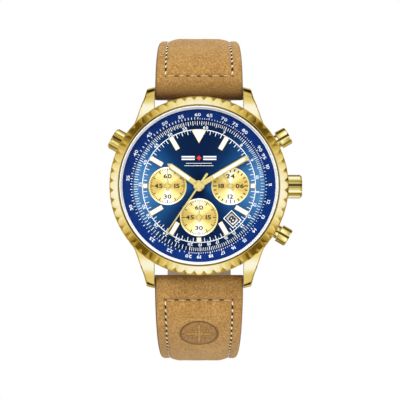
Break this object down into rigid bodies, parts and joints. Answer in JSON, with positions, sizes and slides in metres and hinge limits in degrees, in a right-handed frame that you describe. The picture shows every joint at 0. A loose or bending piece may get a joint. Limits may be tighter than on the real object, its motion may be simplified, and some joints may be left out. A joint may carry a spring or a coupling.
{
  "type": "chronograph wristwatch",
  "caption": "Analogue chronograph wristwatch with round toothed bezel, blue dial, inner slide-rule ring, crown and pushers, on a padded leather strap with pin buckle",
  "frame": {"origin": "middle of the case back outer face, on the axis of the centre hands", "axes": "+Y points from the dial towards the wrist, +Z towards 12 h, +X towards the crown at 3 h"},
  "size_m": [0.0482, 0.0816, 0.0851],
  "materials": {
    "gold_polished": "polished gold-coloured plating over steel, mirror bright",
    "subdial_gold": "satin gold with a sunburst brush",
    "steel_brushed": "brushed stainless steel",
    "movement_brass": "fine satin brass",
    "battery_steel": "smooth nickel-plated steel",
    "coil_copper": "enamelled copper winding",
    "dial_blue": "deep blue sunburst lacquer",
    "ring_navy": "satin navy with white printed scale",
    "window_white": "smooth white",
    "crystal_glass": "clear flat mineral glass with a bevelled edge",
    "gasket_white": "translucent white nylon",
    "gasket_black": "matt black rubber",
    "board_green": "green lacquered laminate",
    "holder_plastic": "off-white moulded plastic",
    "leather_tan": "tan nubuck, soft fine grain, cream stitching, taupe lining"
  },
  "bodies": {
    "case": {"mid_case": "gold_polished", "bezel": "gold_polished", "crystal_gasket": "gasket_white", "crystal": "crystal_glass", "case_back": "steel_brushed", "case_back_gasket": "gasket_black", "dial": "dial_blue", "subdial_disc_3h": "subdial_gold", "subdial_disc_6h": "subdial_gold", "subdial_disc_9h": "subdial_gold", "date_window_frame": "window_white", "index_ring": "gold_polished", "main_plate": "movement_brass", "train_bridge": "steel_brushed", "circuit_board": "board_green", "quartz_can": "steel_brushed", "battery": "battery_steel", "battery_clamp": "steel_brushed", "stator": "steel_brushed", "coil": "coil_copper", "movement_holder": "holder_plastic", "crown_tube": "gold_polished", "pusher_tube_2h": "gold_polished", "pusher_spring_2h": "steel_brushed", "pusher_tube_4h": "gold_polished", "pusher_spring_4h": "steel_brushed", "slide_rule_crown_tube": "gold_polished", "spring_bar_12": "steel_brushed", "spring_bar_6": "steel_brushed"},
    "slide_rule_ring": {"slide_rule_ring": "ring_navy"},
    "slide_rule_crown": {"slide_rule_crown": "gold_polished", "slide_rule_pinion": "steel_brushed"},
    "crown_slide": {"crown_gasket": "gasket_black"},
    "crown": {"crown": "gold_polished", "stem": "steel_brushed"},
    "pusher_2h": {"pusher_2h": "gold_polished"},
    "pusher_4h": {"pusher_4h": "gold_polished"},
    "minute_hand": {"minute_hand": "gold_polished", "cannon_pinion": "movement_brass"},
    "minute_wheel": {"minute_wheel": "movement_brass"},
    "hour_hand": {"hour_hand": "gold_polished", "hour_wheel": "movement_brass"},
    "idler_24h": {"idler_24h": "movement_brass"},
    "hand_24h": {"hand_24h": "gold_polished", "wheel_24h": "movement_brass"},
    "third_wheel": {"third_wheel": "movement_brass"},
    "small_seconds": {"small_seconds_hand": "gold_polished", "seconds_wheel": "movement_brass"},
    "chrono_seconds": {"chrono_seconds_hand": "gold_polished", "chrono_wheel": "movement_brass"},
    "chrono_minute": {"chrono_minute_hand": "gold_polished"},
    "rotor": {"rotor": "steel_brushed"},
    "date_ring": {"date_ring": "window_white"},
    "strap_12": {"strap_12": "leather_tan", "fixed_keeper": "leather_tan"},
    "strap_6": {"strap_6": "leather_tan"},
    "free_keeper": {"free_keeper": "leather_tan"},
    "buckle_frame": {"buckle_frame": "gold_polished", "buckle_bar": "steel_brushed"},
    "buckle_tongue": {"buckle_tongue": "gold_polished"}
  },
  "joints": [
    {"name": "minute_turn", "type": "hinge", "parent": "case", "child": "minute_hand", "pos_m": [0, -0.009, 0], "axis": [0, 1, 0], "continuous": true},
    {"name": "minute_wheel_turn", "type": "hinge", "parent": "case", "child": "minute_wheel", "pos_m": [-0.00198, -0.006, -0.00198], "axis": [0, 1, 0], "continuous": true},
    {"name": "hour_turn", "type": "hinge", "parent": "case", "child": "hour_hand", "pos_m": [0, -0.0089, 0], "axis": [0, 1, 0], "continuous": true},
    {"name": "idler_24h_turn", "type": "hinge", "parent": "case", "child": "idler_24h", "pos_m": [0.0025, -0.0064, 0.00265], "axis": [0, 1, 0], "continuous": true},
    {"name": "hand_24h_turn", "type": "hinge", "parent": "case", "child": "hand_24h", "pos_m": [0.00775, -0.0084, 0], "axis": [0, 1, 0], "continuous": true},
    {"name": "third_wheel_turn", "type": "hinge", "parent": "case", "child": "third_wheel", "pos_m": [0.00107, -0.004, -0.00417], "axis": [0, 1, 0], "continuous": true},
    {"name": "small_seconds_turn", "type": "hinge", "parent": "case", "child": "small_seconds", "pos_m": [0, -0.0084, -0.00775], "axis": [0, 1, 0], "continuous": true},
    {"name": "chrono_seconds_turn", "type": "hinge", "parent": "case", "child": "chrono_seconds", "pos_m": [0, -0.0097, 0], "axis": [0, 1, 0], "continuous": true},
    {"name": "chrono_minute_turn", "type": "hinge", "parent": "case", "child": "chrono_minute", "pos_m": [-0.00775, -0.0084, 0], "axis": [0, 1, 0], "continuous": true},
    {"name": "rotor_turn", "type": "hinge", "parent": "case", "child": "rotor", "pos_m": [0.00474, -0.004, -0.00812], "axis": [0, 1, 0], "continuous": true},
    {"name": "date_ring_turn", "type": "hinge", "parent": "case", "child": "date_ring", "pos_m": [0, -0.0071, 0], "axis": [0, 1, 0], "continuous": true},
    {"name": "slide_rule_ring_turn", "type": "hinge", "parent": "case", "child": "slide_rule_ring", "pos_m": [0, -0.009, 0], "axis": [0, 1, 0], "continuous": true},
    {"name": "slide_rule_crown_turn", "type": "hinge", "parent": "case", "child": "slide_rule_crown", "pos_m": [-0.02002, -0.0053, 0.01133], "axis": [-0.8704, 0, 0.4924], "continuous": true},
    {"name": "crown_pull", "type": "slide", "parent": "case", "child": "crown_slide", "axis": [1, 0, 0], "range_m": [0, 0.001]},
    {"name": "crown_turn", "type": "hinge", "parent": "crown_slide", "child": "crown", "pos_m": [0.022, -0.0053, 0], "axis": [1, 0, 0], "continuous": true},
    {"name": "pusher_2h_press", "type": "slide", "parent": "case", "child": "pusher_2h", "axis": [-0.866, 0, -0.5], "range_m": [0, 0.0008], "stiffness_N_per_m": 900},
    {"name": "pusher_4h_press", "type": "slide", "parent": "case", "child": "pusher_4h", "axis": [-0.866, 0, 0.5], "range_m": [0, 0.0008], "stiffness_N_per_m": 900},
    {"name": "strap_12_swing", "type": "hinge", "parent": "case", "child": "strap_12", "pos_m": [0, -0.0022, 0.02345], "axis": [1, 0, 0], "range_deg": [0, 70]},
    {"name": "strap_6_swing", "type": "hinge", "parent": "case", "child": "strap_6", "pos_m": [0, -0.0022, -0.02345], "axis": [-1, 0, 0], "range_deg": [0, 70]},
    {"name": "free_keeper_slide", "type": "slide", "parent": "strap_12", "child": "free_keeper", "axis": [0, 0.9498, -0.3129], "range_m": [-0.003, 0.003]},
    {"name": "buckle_swing", "type": "hinge", "parent": "strap_12", "child": "buckle_frame", "pos_m": [0, 0.0615, 0.02236], "axis": [1, 0, 0], "range_deg": [-50, 40]},
    {"name": "tongue_swing", "type": "hinge", "parent": "buckle_frame", "child": "buckle_tongue", "pos_m": [0, 0.0615, 0.02236], "axis": [1, 0, 0], "range_deg": [0, 90]}
  ],
  "couplings": [
    {"joint": "minute_wheel_turn", "follows": "minute_turn", "ratio": -0.33333},
    {"joint": "hour_turn", "follows": "minute_turn", "ratio": 0.083333},
    {"joint": "idler_24h_turn", "follows": "minute_turn", "ratio": -0.13333},
    {"joint": "hand_24h_turn", "follows": "minute_turn", "ratio": 0.041667},
    {"joint": "third_wheel_turn", "follows": "minute_turn", "ratio": -8},
    {"joint": "small_seconds_turn", "follows": "minute_turn", "ratio": 60},
    {"joint": "chrono_minute_turn", "follows": "chrono_seconds_turn", "ratio": 0.016667},
    {"joint": "slide_rule_ring_turn", "follows": "slide_rule_crown_turn", "ratio": 0.125}
  ]
}
